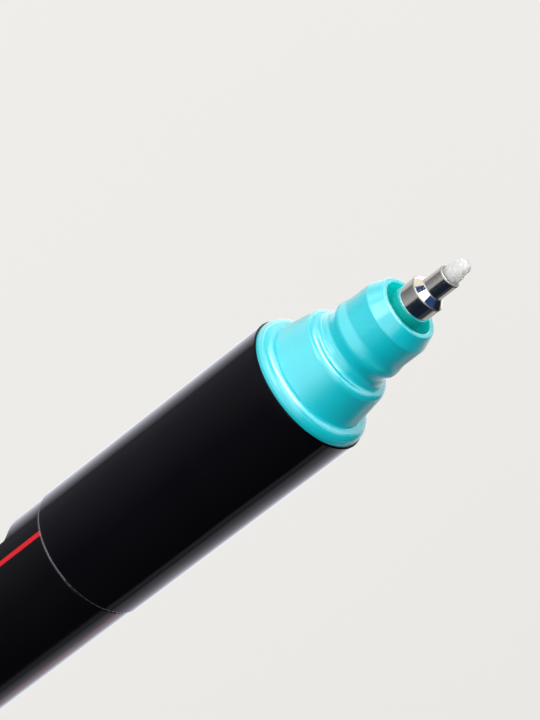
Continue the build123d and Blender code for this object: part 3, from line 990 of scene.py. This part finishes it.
def room_colour(tree, angle, elevation, front, overhead, flag):
    """Light of the room by direction: a pale front, a cream wall on the left and behind with a paler corner,
    a dark wall on the right, a pale strip low down, the given colour overhead and two flags beside it."""

    def patch(across, upward):
        """1 in a patch of the room, given by a band of azimuth and one of elevation, and 0 outside."""
        return multiply(tree, band(tree, angle, *across), band(tree, elevation, *upward))

    front_light, left, right, top = front
    ahead = patch((left, right, FRONT_SOFTNESS), (FRONT_FOOT, top, FRONT_TOP_SOFTNESS))
    cream = highest(tree, patch(LEFT_WALL, WALL_UP), patch(BACK_WALL, WALL_UP))
    dark = patch((right + DARK_WALL_GAP, DARK_WALL_END, DARK_WALL_SOFTNESS), DARK_WALL_UP)
    slope = math_node(tree, "MULTIPLY_ADD", math_node(tree, "ABSOLUTE", angle), FLAG_SLOPE_SHARE, elevation)
    beside = math_node(tree, "ADD", *(band(tree, angle, *side) for side in FLAG_SIDES))
    seen = mix_colour(tree, multiply(tree, beside, band(tree, slope, *FLAG_UP)), overhead, flag)
    seen = mix_colour(tree, band(tree, elevation, *LOW_STRIP_UP), seen, LOW_LIGHT)
    seen = mix_colour(tree, ahead, seen, front_light)
    seen = mix_colour(tree, cream, seen, CREAM_LIGHT)
    seen = mix_colour(tree, patch(CORNER, WALL_UP), seen, CORNER_LIGHT)
    return mix_colour(tree, dark, seen, DARK_WALL_LIGHT)


def dome_material():
    """The room, as polished surfaces see it above the horizon."""
    material, tree, glow = emission_material("Room")
    axes = split(tree, object_place(tree))
    lift = math_node(tree, "SUBTRACT", axes["Z"], SLEEVE_FRONT)
    elevation = math_node(tree, "ARCTAN2", lift, radius_of(tree, axes))
    across = math_node(tree, "DIVIDE", axes["X"], lift)
    along = math_node(tree, "DIVIDE", axes["Y"], lift)
    strip = multiply(tree, window(tree, across, *STRIP_ACROSS), window(tree, along, *STRIP_ALONG))
    strip = multiply(tree, strip, math_node(tree, "GREATER_THAN", lift, 0.0))
    ceiling = mix_colour(tree, remap(tree, across, *CEILING_FALL, 0, 1), CEILING_LEFT, CEILING_RIGHT)
    overhead = mix_colour(tree, strip, ceiling, STRIP_LIGHT)
    angle = angle_round(tree, axes)
    seen = room_colour(tree, angle, elevation, POLISHED_FRONT, overhead, POLISHED_FLAG)
    tree.links.new(seen, glow.inputs["Color"])
    return material


def add_dome():
    """Half sphere round the nose that faces inwards, seen by polished surfaces alone: the radius times the
    sine and cosine of two angles."""
    rows, columns = DOME_GRID
    climb = np.linspace(DOME_FOOT, math.pi / 2, rows)
    up, angle = np.meshgrid(climb, np.arange(columns) / columns * FULL_TURN, indexing="ij")
    reach = DOME_RADIUS * np.cos(up)
    height = SLEEVE_FRONT + DOME_RADIUS * np.sin(up)
    points = np.stack([reach * np.cos(angle), reach * np.sin(angle), height], axis=-1).reshape(-1, 3)
    dome = mesh_piece("room", points, ring_faces(rows, columns, outward=False), dome_material())
    dome.visible_camera = False
    dome.visible_diffuse = False
    dome.visible_transmission = False
    dome.visible_shadow = False


# Floor: its radius, grid and roughness, how far from the middle its tone falls, and the share of its tone
# that doesn't depend on the light, so that the rest keeps a trace of the shadow
FLOOR_RADIUS = 4.0
FLOOR_GRID = (24, 64)
FLOOR_ROUGHNESS = 0.9
FLOOR_FALL = 0.09
FLOOR_GLOW_SHARE = 0.95


def shows_background(tree, share):
    """Given share for camera, glossy and transmission rays, and 0 for all others."""
    path = new_node(tree, "ShaderNodeLightPath").outputs
    rays = highest(tree, path["Is Camera Ray"], path["Is Glossy Ray"], path["Is Transmission Ray"])
    return multiply(tree, rays, share)


def blend_shaders(tree, share, first, second, output):
    """Mixes two shaders by a share and links them to the tree's output node."""
    blend = new_node(tree, "ShaderNodeMixShader")
    tree.links.new(share, blend.inputs["Fac"])
    tree.links.new(first, blend.inputs[1])
    tree.links.new(second, blend.inputs[2])
    tree.links.new(blend.outputs["Shader"], tree.nodes[output].inputs["Surface"])


def floor_material(stage):
    """Pale floor: an even ground with a faint fall of tone that keeps a trace of the shadow."""
    material = bpy.data.materials.new("Pale floor")
    material.use_nodes = True
    tree = material.node_tree
    shader = tree.nodes["Principled BSDF"]
    shader.inputs["Roughness"].default_value = FLOOR_ROUGHNESS
    fall = remap(tree, split(tree, object_place(tree))["X"], -FLOOR_FALL, FLOOR_FALL, 0, 1)
    ground = mix_colour(tree, fall, stage.far_colour, stage.floor_colour)
    tree.links.new(ground, shader.inputs["Base Color"])
    glow = new_node(tree, "ShaderNodeEmission", Strength=1.0)
    tree.links.new(ground, glow.inputs["Color"])
    share = shows_background(tree, FLOOR_GLOW_SHARE)
    blend_shaders(tree, share, shader.outputs["BSDF"], glow.outputs["Emission"], "Material Output")
    return material


def add_floor(stage):
    """Round floor, wide enough to fill every view."""
    points, faces = disc(0, FLOOR_RADIUS, *FLOOR_GRID, 0)
    mesh_piece("floor", points, faces, floor_material(stage))


def set_world(stage):
    """World: the room's light, and the pale ground for camera, glossy and transmission rays."""
    world = bpy.data.worlds.new("Studio")
    bpy.context.scene.world = world
    world.use_nodes = True
    tree = world.node_tree
    ambient = tree.nodes["Background"]
    ambient.inputs["Strength"].default_value = stage.ambient
    axes = split(tree, new_node(tree, "ShaderNodeTexCoord").outputs["Generated"])
    elevation = math_node(tree, "ARCTAN2", axes["Z"], radius_of(tree, axes))
    lit = room_colour(tree, angle_round(tree, axes), elevation, LIT_FRONT, LIT_OVERHEAD, LIT_FLAG)
    tree.links.new(lit, ambient.inputs["Color"])
    pale = new_node(tree, "ShaderNodeBackground", Color=(*stage.far_colour, 1), Strength=1.0)
    share = shows_background(tree, 1.0)
    blend_shaders(tree, share, ambient.outputs["Background"], pale.outputs["Background"], "World Output")


class MARKER_OT_stage(bpy.types.Operator):
    """Adds the floor, the cards and the room that are reflected, the world, the camera and the soft lamps"""

    bl_idname = "marker.stage"
    bl_label = "Stage"

    def execute(self, context):
        scene = context.scene
        stage = scene.marker_stage
        scene.view_settings.view_transform = "Standard"
        add_floor(stage)
        add_cards()
        add_dome()
        set_world(stage)
        add_camera(stage)
        add_softbox("Top softbox", scene.marker_top_box)
        add_softbox("Window softbox", scene.marker_window_box)
        return {"FINISHED"}


class MARKER_PT_panel(bpy.types.Panel):
    """Lists the marker's operators and settings"""

    bl_idname = "MARKER_PT_panel"
    bl_label = "Paint Marker"
    bl_space_type = "VIEW_3D"
    bl_region_type = "UI"
    bl_category = "Marker"

    def draw(self, context):
        for operator in OPERATOR_CLASSES:
            self.layout.operator(operator.bl_idname)
        for group in SETTINGS:
            settings = getattr(context.scene, group)
            self.layout.label(text=group.replace("_", " ").capitalize())
            for name in settings.bl_rna.properties.keys():
                if name not in ("rna_type", "name"):
                    self.layout.prop(settings, name)


OPERATOR_CLASSES = (
    MARKER_OT_barrel,
    MARKER_OT_thread,
    MARKER_OT_sleeve,
    MARKER_OT_nose,
    MARKER_OT_tip,
    MARKER_OT_valve,
    MARKER_OT_spring,
    MARKER_OT_stage,
)


def register():
    for cls in (*PROPERTY_CLASSES, *OPERATOR_CLASSES, MARKER_PT_panel):
        bpy.utils.register_class(cls)
    for name, group in SETTINGS.items():
        setattr(bpy.types.Scene, name, PointerProperty(type=group))


def unregister():
    for name in reversed(SETTINGS):
        delattr(bpy.types.Scene, name)
    for cls in reversed((*PROPERTY_CLASSES, *OPERATOR_CLASSES, MARKER_PT_panel)):
        bpy.utils.unregister_class(cls)


def main():
    register()
    place_lamps(bpy.context.scene)
    bpy.ops.marker.barrel()
    bpy.ops.marker.thread()
    bpy.ops.marker.sleeve()
    bpy.ops.marker.nose()
    bpy.ops.marker.tip()
    bpy.ops.marker.valve()
    bpy.ops.marker.spring()
    bpy.ops.marker.stage()


if __name__ == "__main__":
    main()
